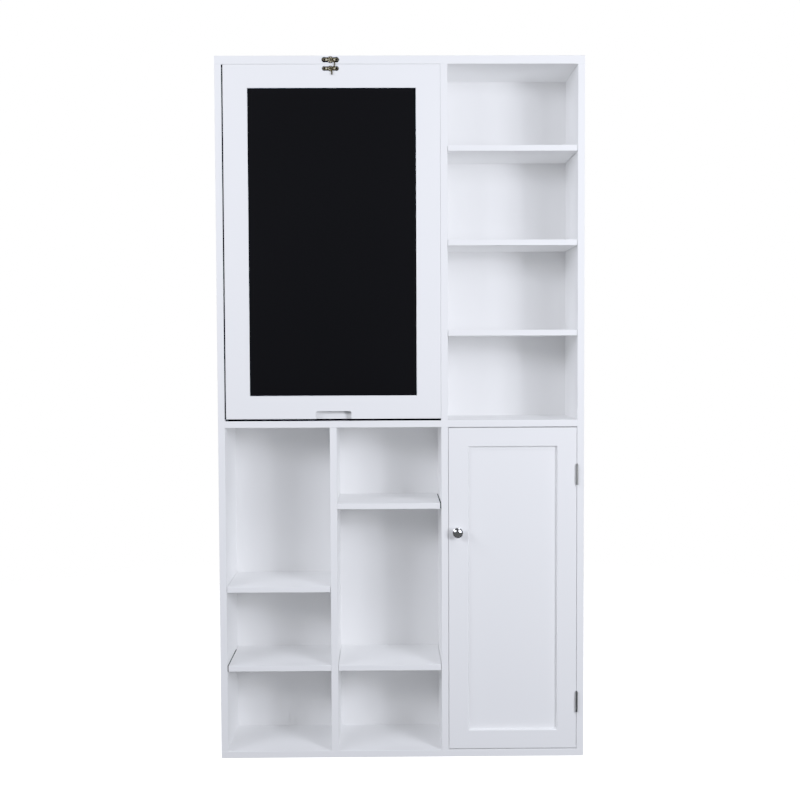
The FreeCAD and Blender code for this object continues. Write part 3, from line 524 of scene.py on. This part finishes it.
hinge = {
    "gap": 0.3,  # mm between neighbouring knuckles, and between a knuckle and the other leaf
    "chamfer": 0.3,  # mm
    "sides": 24,
}
hingeInputs = {  # hingeLeaves works every value out for its leaf
    "Knuckles": 1,
    **dict.fromkeys(("Radius", "Chamfered Radius", "Chamfer", "Drum"), 0.0),
    **dict.fromkeys(("First", "Step", "Drum Place", "Crown Place", "Tab", "Tab Place", "Leaf", "Leaf Place"),
                    (0.0, 0.0, 0.0)),
}
hingeRows = {  # CAD leaf and pin, body, directions of pin and leaf, knuckles of both leaves, first own one
    "doorHingeFixed": ("door_hinge_fixed_leaves", "door_hinge_pins", "carcass", upward, rearward, 5, 0),
    "doorHingeMoving": ("door_hinge_moving_leaves", "door_hinge_pins", "cupboard_door", upward, rearward,
                        5, 1),
    "deskHingeFixed": ("desk_hinge_fixed_leaf", "desk_hinge_pin", "carcass", rightward, rearward, 23, 0),
    "deskHingeMoving": ("desk_hinge_moving_leaf", "desk_hinge_pin", "desk_leaf", rightward, rearward, 23, 1),
    "legHingeOnDesk": ("leg_hinge_desk_leaves", "leg_hinge_pins", "desk_leaf", rightward, rearward, 5, 0),
    "legHingeOnLeg": ("leg_hinge_leg_leaves", "leg_hinge_pins", "leg_frame", rightward, -upward, 5, 1),
}


def hingeTree():  # a leaf along Z with its row of rolled, chamfered knuckles
    tree, inputs = newTree("hingeLeafWithKnuckles", hingeInputs)
    rings = (
        ("Chamfered Radius", "Radius", "Chamfer", {}),
        ("Radius", "Radius", "Drum", {"Translation": inputs["Drum Place"]}),
        ("Radius", "Chamfered Radius", "Chamfer", {"Translation": inputs["Crown Place"]}),
    )
    shapes = []
    for low, high, depth, lift in rings:
        ring = addNode(tree, "GeometryNodeMeshCone", {"Vertices": hinge["sides"]}, {
            "Radius Bottom": inputs[low], "Radius Top": inputs[high], "Depth": inputs[depth]})
        shapes.append(addNode(tree, "GeometryNodeTransform", {}, {"Geometry": ring, **lift}))
    tab = addNode(tree, "GeometryNodeMeshCube", {}, {"Size": inputs["Tab"]})
    shapes.append(addNode(tree, "GeometryNodeTransform", {},
                          {"Geometry": tab, "Translation": inputs["Tab Place"]}))
    knuckle = addNode(tree, "GeometryNodeJoinGeometry", {}, {0: shapes})
    line = addNode(tree, "GeometryNodeMeshLine", {}, {
        "Count": inputs["Knuckles"], "Start Location": inputs["First"], "Offset": inputs["Step"]})
    barrels = addNode(tree, "GeometryNodeInstanceOnPoints", {}, {"Points": line, "Instance": knuckle})
    plate = addNode(tree, "GeometryNodeMeshCube", {}, {"Size": inputs["Leaf"]})
    leaf = addNode(tree, "GeometryNodeTransform", {},
                   {"Geometry": plate, "Translation": inputs["Leaf Place"]})
    closeTree(tree, inputs, [barrels, leaf])
    return tree


hingeLeaf = hingeTree()


def joinMeshes(name, meshes):  # one mesh from several
    work = bmesh.new()
    for mesh in meshes:
        work.from_mesh(mesh)
    return meshFrom(work, name, meshes[0].materials[0])


def hingeLeaves(name, node, pin, body, along, way, knuckles, first):  # leaves of one body, each round its pin
    thick = along.cross(way)
    gap, chamfer = hinge["gap"] * mm, hinge["chamfer"] * mm
    pins = [spanOf(places) for places in solidsOf(pin)]
    made = []
    for places in solidsOf(node):
        low, high = spanOf(places)
        start, end = min(pins, key=lambda s: ((s[0] + s[1]) / 2 - (low + high) / 2).length)
        axis = (start + end) / 2
        axis = axis + along * (start - axis).dot(along)
        length = (end - start).dot(along)
        radius = -min((p - axis).dot(way) for p in places)
        relief = radius + gap
        reach = max((p - axis).dot(way) for p in places)
        sides = [(p - axis).dot(thick) for p in places if (p - axis).dot(way) > relief + gap]
        thickness = max(sides) - min(sides)
        middle = (max(sides) + min(sides)) / 2
        pitch = length / knuckles
        height = pitch - gap
        sizes = {
            "Knuckles": (knuckles + 1 - first) // 2,
            "First": (0.0, 0.0, first * pitch + gap / 2),
            "Step": (0.0, 0.0, 2 * pitch),
            "Radius": radius,
            "Chamfered Radius": radius - chamfer,
            "Chamfer": chamfer,
            "Drum": height - 2 * chamfer,
            "Drum Place": (0.0, 0.0, chamfer),
            "Crown Place": (0.0, 0.0, height - chamfer),
            "Tab": (relief, thickness, height),
            "Tab Place": (relief / 2, middle, height / 2),
            "Leaf": (reach - relief, thickness, length),
            "Leaf Place": ((reach + relief) / 2, middle, length / 2),
        }
        leaf = runTree(name, hingeLeaf, bpy.data.meshes.new("empty"), sizes, slotOf[node])
        turn = Matrix((way, thick, along)).transposed().to_4x4()
        leaf.transform(Matrix.Translation(axis) @ turn)
        made.append(leaf)
    mesh = joinMeshes(name, made)
    soften(mesh)
    replaceNode(name, mesh, body, node)


for name, row in hingeRows.items():
    hingeLeaves(name, *row)
print("hinges made:", len(hingeRows))

latchPlates = {  # mm
    "latchKeeper": {"node": "latch_keeper_plate", "body": "carcass", "boss": 7.5, "lobe": 6.0,
                    "spread": 13.2, "neck": 5.5, "stud": 3.7, "petals": (4.6, 4.6)},
    "latchHookPlate": {"node": "latch_hook_plate", "body": "leg_frame", "boss": 6.3, "lobe": 5.3,
                       "spread": 13.2, "neck": 4.8, "stud": 1.15, "petals": (3.7, 3.2)},
}
reliefSizes = {
    "Base": 0.6 * mm,
    "Bead Radius": 0.28 * mm,
    "Bead Spacing": 1.25 * mm,
    "Petals": 8,
    "Petal Ring": 4.6 * mm,
    "Petal Length": 4.4 * mm,
    "Petal Width": 2.4 * mm,
    "Petal Height": 0.6 * mm,
    "Boss Radius": 2.6 * mm,
    "Boss Height": 1.2 * mm,
    "Leaf Spread": 8.4 * mm,
    "Leaf Length": 7.6 * mm,
    "Leaf Width": 2.2 * mm,
    "Lobe Spread": 13.2 * mm,
    "Lobe Boss": 3.5 * mm,
    "Lobe Height": 1.15 * mm,
    "Countersink": 2.2 * mm,
    "Countersink Depth": 0.5 * mm,
    "Stud Radius": 1.6 * mm,
    "Stud Height": 3.7 * mm,
    "Sides": 32,
}
tapers = {"Lobe Boss": 0.88, "Boss Radius": 0.85, "Stud Radius": 0.9}  # top radius as a share of the foot's
beadInset = 0.9  # mm from the plate's edge to the bead row
leafAngles = (52, -52)  # degrees
arcSteps = 16


def plateOutline(boss, lobe, spread, neck, inset):  # a round boss between two round lobes on a straight neck
    boss, lobe, neck = boss - inset, lobe - inset, neck - inset
    meet = math.asin(neck / lobe)
    start = math.asin(neck / boss)
    arcs = (
        (spread, lobe, meet - math.pi, math.pi - meet),
        (0, boss, start, math.pi - start),
        (-spread, lobe, meet, 2 * math.pi - meet),
        (0, boss, math.pi + start, 2 * math.pi - start),
    )
    places = []
    for centre, radius, low, high in arcs:
        for i in range(arcSteps + 1):
            angle = low + (high - low) * i / arcSteps
            places.append((centre + radius * math.cos(angle), radius * math.sin(angle), 0))
    return places


def reliefTree():  # a cast plate: flat ground, beaded rim, a rosette round the boss and raised screw seats
    tree, inputs = newTree("castLatchPlate", reliefSizes)
    row = addNode(tree, "GeometryNodeInputNamedAttribute", {"data_type": "INT", "Name": "row"})
    inner = addNode(tree, "FunctionNodeCompare", {"data_type": "INT", "operation": "EQUAL", 3: 1}, {2: row})
    loops = addNode(tree, "GeometryNodeSeparateGeometry", {"domain": "POINT"},
                    {"Geometry": inputs["Geometry"], "Selection": inner})
    rim = addNode(tree, "GeometryNodeMeshToCurve", {}, {0: loops.outputs["Inverted"]})
    ground = addNode(tree, "GeometryNodeFillCurve", {"mode": "NGONS"}, {"Curve": rim})
    raised = addNode(tree, "GeometryNodeExtrudeMesh", {"Individual": False},
                     {"Mesh": ground, "Offset Scale": inputs["Base"]})
    under = addNode(tree, "GeometryNodeFlipFaces", {}, {0: ground})
    plate = addNode(tree, "GeometryNodeJoinGeometry", {}, {0: [raised, under]})
    path = addNode(tree, "GeometryNodeMeshToCurve", {}, {0: loops.outputs["Selection"]})
    dots = addNode(tree, "GeometryNodeResampleCurve", {"mode": "LENGTH"},
                   {"Curve": path, "Length": inputs["Bead Spacing"]})
    onGround = addNode(tree, "ShaderNodeCombineXYZ", {}, {2: inputs["Base"]})
    bead = addNode(tree, "GeometryNodeMeshIcoSphere", {"Subdivisions": 2}, {"Radius": inputs["Bead Radius"]})
    lifted = addNode(tree, "GeometryNodeTransform", {}, {"Geometry": bead, "Translation": onGround})
    beads = addNode(tree, "GeometryNodeInstanceOnPoints", {}, {"Points": dots, "Instance": lifted})
    seed = addNode(tree, "GeometryNodeMeshIcoSphere", {"Subdivisions": 3, "Radius": 1.0})
    sizes = {}
    for shape in ("Petal", "Leaf"):  # half axes of the seed
        long, wide = [
            addNode(tree, "ShaderNodeMath", {"operation": "MULTIPLY", 1: 0.5}, {0: inputs[shape + side]})
            for side in (" Length", " Width")]
        sizes[shape] = addNode(tree, "ShaderNodeCombineXYZ", {},
                               {0: long, 1: wide, 2: inputs["Petal Height"]})
    circle = addNode(tree, "GeometryNodeMeshCircle", {},
                     {"Vertices": inputs["Petals"], "Radius": inputs["Petal Ring"]})
    place = addNode(tree, "GeometryNodeInputPosition", {})
    turn = addNode(tree, "FunctionNodeAlignRotationToVector", {"axis": "X"}, {"Vector": place})
    petal = addNode(tree, "GeometryNodeTransform", {},
                    {"Geometry": seed, "Scale": sizes["Petal"], "Translation": onGround})
    petals = addNode(tree, "GeometryNodeInstanceOnPoints", {},
                     {"Points": circle, "Instance": petal, "Rotation": turn})
    leaves = []
    for angle in leafAngles:
        shaped = addNode(tree, "GeometryNodeTransform", {}, {"Geometry": seed, "Scale": sizes["Leaf"]})
        leaves.append(addNode(tree, "GeometryNodeTransform", {"Rotation": (0.0, 0.0, math.radians(angle))},
                              {"Geometry": shaped, "Translation": onGround}))
    spray = addNode(tree, "GeometryNodeJoinGeometry", {}, {0: leaves})
    tops = {label: addNode(tree, "ShaderNodeMath", {"operation": "MULTIPLY", 1: share}, {0: inputs[label]})
            for label, share in tapers.items()}
    wall = addNode(tree, "GeometryNodeMeshCone", {"fill_type": "NONE"}, {
        "Vertices": inputs["Sides"], "Radius Bottom": inputs["Lobe Boss"], "Radius Top": tops["Lobe Boss"],
        "Depth": inputs["Lobe Height"]})
    funnel = addNode(tree, "GeometryNodeMeshCone", {"fill_type": "NONE"}, {
        "Vertices": inputs["Sides"], "Radius Bottom": inputs["Countersink"], "Radius Top": tops["Lobe Boss"],
        "Depth": inputs["Countersink Depth"]})
    sunk = addNode(tree, "ShaderNodeMath", {"operation": "SUBTRACT"},
                   {0: inputs["Lobe Height"], 1: inputs["Countersink Depth"]})
    risen = addNode(tree, "ShaderNodeCombineXYZ", {}, {2: sunk})
    inside = addNode(tree, "GeometryNodeFlipFaces", {}, {0: funnel})
    slope = addNode(tree, "GeometryNodeTransform", {}, {"Geometry": inside, "Translation": risen})
    seat = addNode(tree, "GeometryNodeJoinGeometry", {}, {0: [wall, slope]})
    parts = [plate, beads, petals]
    for spread, shape in (("Leaf Spread", spray), ("Lobe Spread", seat)):  # one at each side of the boss
        left, across = [
            addNode(tree, "ShaderNodeMath", {"operation": "MULTIPLY", 1: share}, {0: inputs[spread]})
            for share in (-1.0, 2.0)]
        pair = addNode(tree, "GeometryNodeMeshLine", {"Count": 2}, {
            "Start Location": addNode(tree, "ShaderNodeCombineXYZ", {}, {0: left}),
            "Offset": addNode(tree, "ShaderNodeCombineXYZ", {}, {0: across})})
        parts.append(addNode(tree, "GeometryNodeInstanceOnPoints", {}, {"Points": pair, "Instance": shape}))
    for radius, height in (("Boss Radius", "Boss Height"), ("Stud Radius", "Stud Height")):
        parts.append(addNode(tree, "GeometryNodeMeshCone", {}, {
            "Vertices": inputs["Sides"], "Radius Bottom": inputs[radius], "Radius Top": tops[radius],
            "Depth": inputs[height]}))
    closeTree(tree, inputs, parts)
    return tree


castPlate = reliefTree()


def latchPlate(name, row):  # one plate, laid on the front plane over its CAD node
    rims = [plateOutline(row["boss"], row["lobe"], row["spread"], row["neck"], inset)
            for inset in (0, beadInset)]
    places = [[v * mm for v in p] for rim in rims for p in rim]
    count = len(rims[0])
    edges = [(k * count + i, k * count + (i + 1) % count) for k in (0, 1) for i in range(count)]
    source = bpy.data.meshes.new(name + "Rims")
    source.from_pydata(places, edges, [])
    mark = source.attributes.new("row", "INT", "POINT")
    for i in range(count):
        mark.data[count + i].value = 1
    sizes = {"Lobe Spread": row["spread"] * mm, "Stud Height": row["stud"] * mm,
             "Petal Ring": row["petals"][0] * mm, "Petal Length": row["petals"][1] * mm}
    mesh = runTree(name, castPlate, source, {**reliefSizes, **sizes}, "antique_nickel")
    middle = middleOf(row["node"])
    turn = Matrix((rightward, upward, -rearward)).transposed().to_4x4()
    mesh.transform(Matrix.Translation((middle.x, frontPlane, middle.z)) @ turn)
    soften(mesh)
    replaceNode(name, mesh, row["body"], row["node"])


for name, row in latchPlates.items():
    latchPlate(name, row)

hookEdge = {"round": 0.4, "steps": 2, "sharpest": 40, "crisp": 50}  # mm, count, degrees, degrees


def roundedHook():  # a merged copy of the CAD hook with its edges rounded over
    work = bmesh.new()
    work.from_mesh(nodes["latch_hook"].data)
    bmesh.ops.remove_doubles(work, verts=work.verts, dist=cadMerge)
    bmesh.ops.dissolve_limit(work, angle_limit=math.radians(1), verts=work.verts, edges=work.edges)
    limit = math.radians(hookEdge["sharpest"])
    sharp = [e for e in work.edges if len(e.link_faces) == 2 and e.calc_face_angle(0.0) > limit]
    bmesh.ops.bevel(work, geom=sharp, offset=hookEdge["round"] * mm, offset_type="OFFSET",
                    segments=hookEdge["steps"], profile=0.5, affect="EDGES", clamp_overlap=True)
    bmesh.ops.triangulate(work, faces=[f for f in work.faces if len(f.verts) > 4])
    mesh = meshFrom(work, "latchHook", finishes["antique_nickel"])
    soften(mesh, hookEdge["crisp"])
    replaceNode("latchHook", mesh, "latch_hook", "latch_hook")


roundedHook()

knob = {  # mm, out from the door's face
    "flange": 8.0,
    "flangeDepth": 1.5,
    "flangeBreak": (0.5, 0.45),  # how far its edge is broken, across and along
    "filletFoot": (1.2, 0.4),  # where the neck's fillet leaves the flange, across and along
    "filletTop": 0.3,
    "neck": 5.5,
    "neckSpan": (4.0, 7.0),
    "throat": (0.4, 0.5),  # the bend's corner, out from the neck and down from the rim
    "widest": 12.0,
    "widestAt": 16.5,
    "rim": 2.0,
    "rimSweep": (-60, 52),  # degrees
    "projection": 22.0,
    "throatSteps": 8,
    "rimSteps": 18,
    "domeSteps": 12,
    "turnSteps": 72,
    "crisp": 30,  # degrees
}


def knobProfile():  # radius and height of each corner, from the flange's centre to the crest
    flange, depth, neck = knob["flange"], knob["flangeDepth"], knob["neck"]
    inset, back = knob["flangeBreak"]
    wide, rise = knob["filletFoot"]
    low, high = knob["neckSpan"]
    rows = [(0, 0), (flange, 0), (flange, depth - back), (flange - inset, depth), (neck + wide, depth + rise),
            (neck + knob["filletTop"], (depth + low) / 2), (neck, low), (neck, high)]
    hub = knob["widest"] - knob["rim"]
    first, last = knob["rimSweep"]
    rim = []
    for i in range(knob["rimSteps"] + 1):
        angle = math.radians(first + (last - first) * i / knob["rimSteps"])
        rim.append((hub + knob["rim"] * math.cos(angle), knob["widestAt"] + knob["rim"] * math.sin(angle)))
    start, end = Vector(rows[-1]), Vector(rim[0])
    bend = Vector((start.x + knob["throat"][0], end.y - knob["throat"][1]))
    for i in range(1, knob["throatSteps"]):
        t = i / knob["throatSteps"]
        rows.append(tuple(start * (1 - t) ** 2 + bend * 2 * t * (1 - t) + end * t ** 2))
    rows += rim
    edge, crest = rim[-1], knob["projection"]
    sag = crest - edge[1]
    dome = (edge[0] ** 2 + sag ** 2) / (2 * sag)
    for i in range(1, knob["domeSteps"] + 1):
        angle = math.asin(edge[0] / dome) * (1 - i / knob["domeSteps"])
        rows.append((dome * math.sin(angle), crest - dome + dome * math.cos(angle)))
    return rows


def turnedKnob():  # lathe-turned brass blank, plated
    middle = middleOf("door_knob")
    work = bmesh.new()
    corners = [work.verts.new((middle.x + radius * mm, frontPlane - out * mm, middle.z))
               for radius, out in knobProfile()]
    spokes = [work.edges.new(pair) for pair in zip(corners, corners[1:])]
    bmesh.ops.spin(work, geom=corners + spokes, cent=(middle.x, 0, middle.z), axis=(0, 1, 0),
                   steps=knob["turnSteps"], angle=2 * math.pi)
    bmesh.ops.remove_doubles(work, verts=work.verts, dist=meshMerge)
    bmesh.ops.recalc_face_normals(work, faces=work.faces)
    mesh = meshFrom(work, "turnedKnob", finishes["chrome_plate"])
    soften(mesh, knob["crisp"])
    replaceNode("turnedKnob", mesh, "cupboard_door", "door_knob")


turnedKnob()
print("latch and knob made")

pinShadeCap = {"radius": 1.7, "lift": 0.5, "steps": (20, 12)}  # mm, mm, round and up


def addPinShadeCaps():  # black buttons on top of the door hinge pins, painted shade for the dark hole at each hinge's top end
    work = bmesh.new()
    for places in solidsOf("door_hinge_pins"):
        low, high = spanOf(places)
        middle = (low + high) / 2
        where = Matrix.Translation((middle.x, middle.y, high.z + pinShadeCap["lift"] * mm))
        bmesh.ops.create_uvsphere(work, u_segments=pinShadeCap["steps"][0], v_segments=pinShadeCap["steps"][1],
                                  radius=pinShadeCap["radius"] * mm, matrix=where)
    mesh = meshFrom(work, "pinShadeCaps", finishes["blackened_steel"])
    soften(mesh)
    addPiece("pinShadeCaps", mesh, "carcass")


# the caps are painted shade for the dark holes at the hinges' top ends
addPinShadeCaps()
print("pin caps made")

# black strips put in the gaps as painted shade; columns: panel, boards beyond the gap, axis across it
# then mm: bite and thickness, insets at front and rear, insets at both ends
strips = {
    "flapSideStrip": ("upper_left_side", ["leg_left_stile"], 0, (0.5, 2.8), (-0.05, 11.0), (0.2, 0.2)),
    "flapFootStrip": ("mid_panel", ["leg_left_stile", "leg_right_stile"], 2, (0.6, 0.4), (-0.05, 14.95),
                      (-0.4, -0.4)),
    "flapCornerStrip": ("mid_panel", ["leg_right_stile"], 2, (0.5, 4.0), (-0.05, 13.0), (48.2, -0.4)),
    "leftShelfStrip": ("lower_left_side", ["left_bay_shelf_1"], 0, (0.3, 2.6), (-0.1, 35.0), (-0.1, -0.1)),
    "middleShelfStrip": ("lower_right_divider", ["middle_bay_shelf_2"], 0, (0.3, 3.0), (-0.1, 15.0),
                         (-0.1, -0.1)),
}
stripRound = 0.05  # mm
# painted shade for the gaps and shelf ends: dead black, no shine
gapShadeBlack = moulded("paintedGapShade", "#060606", "#030303", 0.9, 0.9, 0.0)


def gapShadeStrip(name, panel, boards, across, depth, sides, ends):  # a black strip of painted gap shade on a panel, towards the boards
    low, high = spanOf([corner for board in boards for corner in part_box(board)])
    panelLow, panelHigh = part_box(panel)
    beyond = low[across] > panelHigh[across]
    face, way = (panelHigh[across], mm) if beyond else (panelLow[across], -mm)
    bite, thickness = depth
    along = 2 - across  # the other one of X and Z
    start = Vector((0, low.y + sides[0] * mm, 0))
    end = Vector((0, high.y - sides[1] * mm, 0))
    start[across], end[across] = sorted((face - bite * way, face + thickness * way))
    start[along], end[along] = low[along] + ends[0] * mm, high[along] - ends[1] * mm
    work = bmesh.new()
    bmesh.ops.create_cube(work, size=1.0)
    for vert in work.verts:
        vert.co = [a + (b - a) * (c + 0.5) for a, b, c in zip(start, end, vert.co)]
    bmesh.ops.bevel(work, geom=list(work.edges), offset=stripRound * mm, offset_type="OFFSET", segments=2,
                    profile=0.5, affect="EDGES", clamp_overlap=True)
    addPiece(name, meshFrom(work, name, gapShadeBlack), "carcass")


# each strip darkens its gap as painted shade
for name, row in strips.items():
    gapShadeStrip(name, *row)
print("gap strips made:", len(strips))

camera = {  # mm and degrees
    "place": (-30.5, -2671.3, 905.3),
    "yaw": 0.616,
    "down": 2.552,
    "roll": -0.24,
    "lens": 53.28,
    "sensor": 36,
}


def addCamera():  # where the photograph was taken from
    yaw, down, roll = (math.radians(camera[key]) for key in ("yaw", "down", "roll"))
    ahead = Vector((math.sin(yaw) * math.cos(down), math.cos(yaw) * math.cos(down), -math.sin(down)))
    level = Vector((math.cos(yaw), -math.sin(yaw), 0))
    upright = level.cross(ahead)
    right = level * math.cos(roll) + upright * math.sin(roll)
    up = upright * math.cos(roll) - level * math.sin(roll)
    lens = bpy.data.cameras.new("viewLens")
    lens.lens = camera["lens"]
    lens.sensor_width = camera["sensor"]
    view = bpy.data.objects.new("viewCamera", lens)
    turn = Matrix((right, up, -ahead)).transposed().to_4x4()
    view.matrix_world = Matrix.Translation(Vector(camera["place"]) * mm) @ turn
    scene.collection.objects.link(view)
    scene.camera = view


studio = {
    "aim": (0, -90, 800),  # mm
    "boxSide": 700,  # mm
    "softboxes": {  # place in mm, watts
        "rightSoftbox": ((1850, -2200, 1100), 32.8),
        "innerRightSoftbox": ((1300, -2200, 1600), 15.6),
        "leftSoftbox": ((-2250, -2200, 1800), 24.2),
        "innerLeftSoftbox": ((-1300, -2200, 1600), 8.2),
        "leftWallSoftbox": ((-2200, -1200, 2200), 13.2),
        "topSoftbox": ((1200, -1400, 2800), 7.3),
        "rearLeftSoftbox": ((-1600, 2200, 2300), 16.0),
        "rearRightSoftbox": ((1600, 2200, 2300), 18.0),
    },
    "tint": "#ecf0ff",
    "room": 0.045,  # the dim room that the metal mirrors where there is no softbox
    "tones": (  # scene light to picture, as the camera drew it
        (0.0026, 0.007), (0.01, 0.024), (0.03, 0.08), (0.06, 0.16), (0.1, 0.25), (0.2, 0.387), (0.3, 0.49),
        (0.5, 0.664), (0.75, 0.846),
    ),
}


def addLights():  # softboxes, white behind the object, and the picture's tone curve
    for name, (place, watts) in studio["softboxes"].items():
        lamp = bpy.data.lights.new(name, "AREA")
        lamp.size = studio["boxSide"] * mm
        lamp.energy = watts
        lamp.color = linear(studio["tint"])[:3]
        box = bpy.data.objects.new(name, lamp)
        start = Vector(place) * mm
        box.location = start
        box.rotation_euler = (Vector(studio["aim"]) * mm - start).to_track_quat("-Z", "Y").to_euler()
        box.visible_camera = False
        scene.collection.objects.link(box)
    world = bpy.data.worlds.new("whiteStudio")
    world.use_nodes = True
    tree = world.node_tree
    seen = addNode(tree, "ShaderNodeLightPath", {})
    strength = addNode(tree, "ShaderNodeMath", {"operation": "MULTIPLY_ADD", 1: studio["room"]},
                       {0: seen.outputs["Is Glossy Ray"], 2: seen.outputs["Is Camera Ray"]})
    setNode(tree, tree.nodes["Background"], {"Color": (1.0, 1.0, 1.0, 1.0)}, {"Strength": strength})
    scene.world = world
    scene.view_settings.view_transform = "Standard"
    scene.view_settings.use_curve_mapping = True
    curve = scene.view_settings.curve_mapping
    for light, drawn in studio["tones"]:
        curve.curves[3].points.new(light, drawn)
    curve.update()


floorLook = {
    "paint": "#f2f2f2",
    "roughness": 0.7,
    "glow": 0.95,
    "radius": 2600,  # mm
    "fade": (900, 2400),  # mm, where the floor runs out into the white
    "drop": 0.5,  # mm below the object's underside
    "sides": 96,
}


def addFloor():  # painted board, lit to white and fading out away from the object
    material, tree, shader, place = newMaterial("paleStudioFloor")
    away = addNode(tree, "ShaderNodeVectorMath", {"operation": "LENGTH"}, {0: place})
    near, far = floorLook["fade"]
    fade = addNode(tree, "ShaderNodeMapRange",
                   {"From Min": near * mm, "From Max": far * mm, "To Min": 1.0, "To Max": 0.0},
                   {"Value": away.outputs["Value"]})
    setNode(tree, shader, {"Base Color": linear(floorLook["paint"]), "Roughness": floorLook["roughness"],
                           "Emission Color": (1.0, 1.0, 1.0, 1.0), "Emission Strength": floorLook["glow"]},
            {"Alpha": fade})
    work = bmesh.new()
    bmesh.ops.create_circle(work, cap_ends=True, segments=floorLook["sides"],
                            radius=floorLook["radius"] * mm)
    mesh = meshFrom(work, "studioFloor", material)
    mesh.transform(Matrix.Translation((0, 0, -floorLook["drop"] * mm)))
    floor = bpy.data.objects.new("studioFloor", mesh)
    scene.collection.objects.link(floor)
    floor.visible_glossy = False
    floor.visible_diffuse = False


addCamera()
addLights()
addFloor()
print("studio ready")
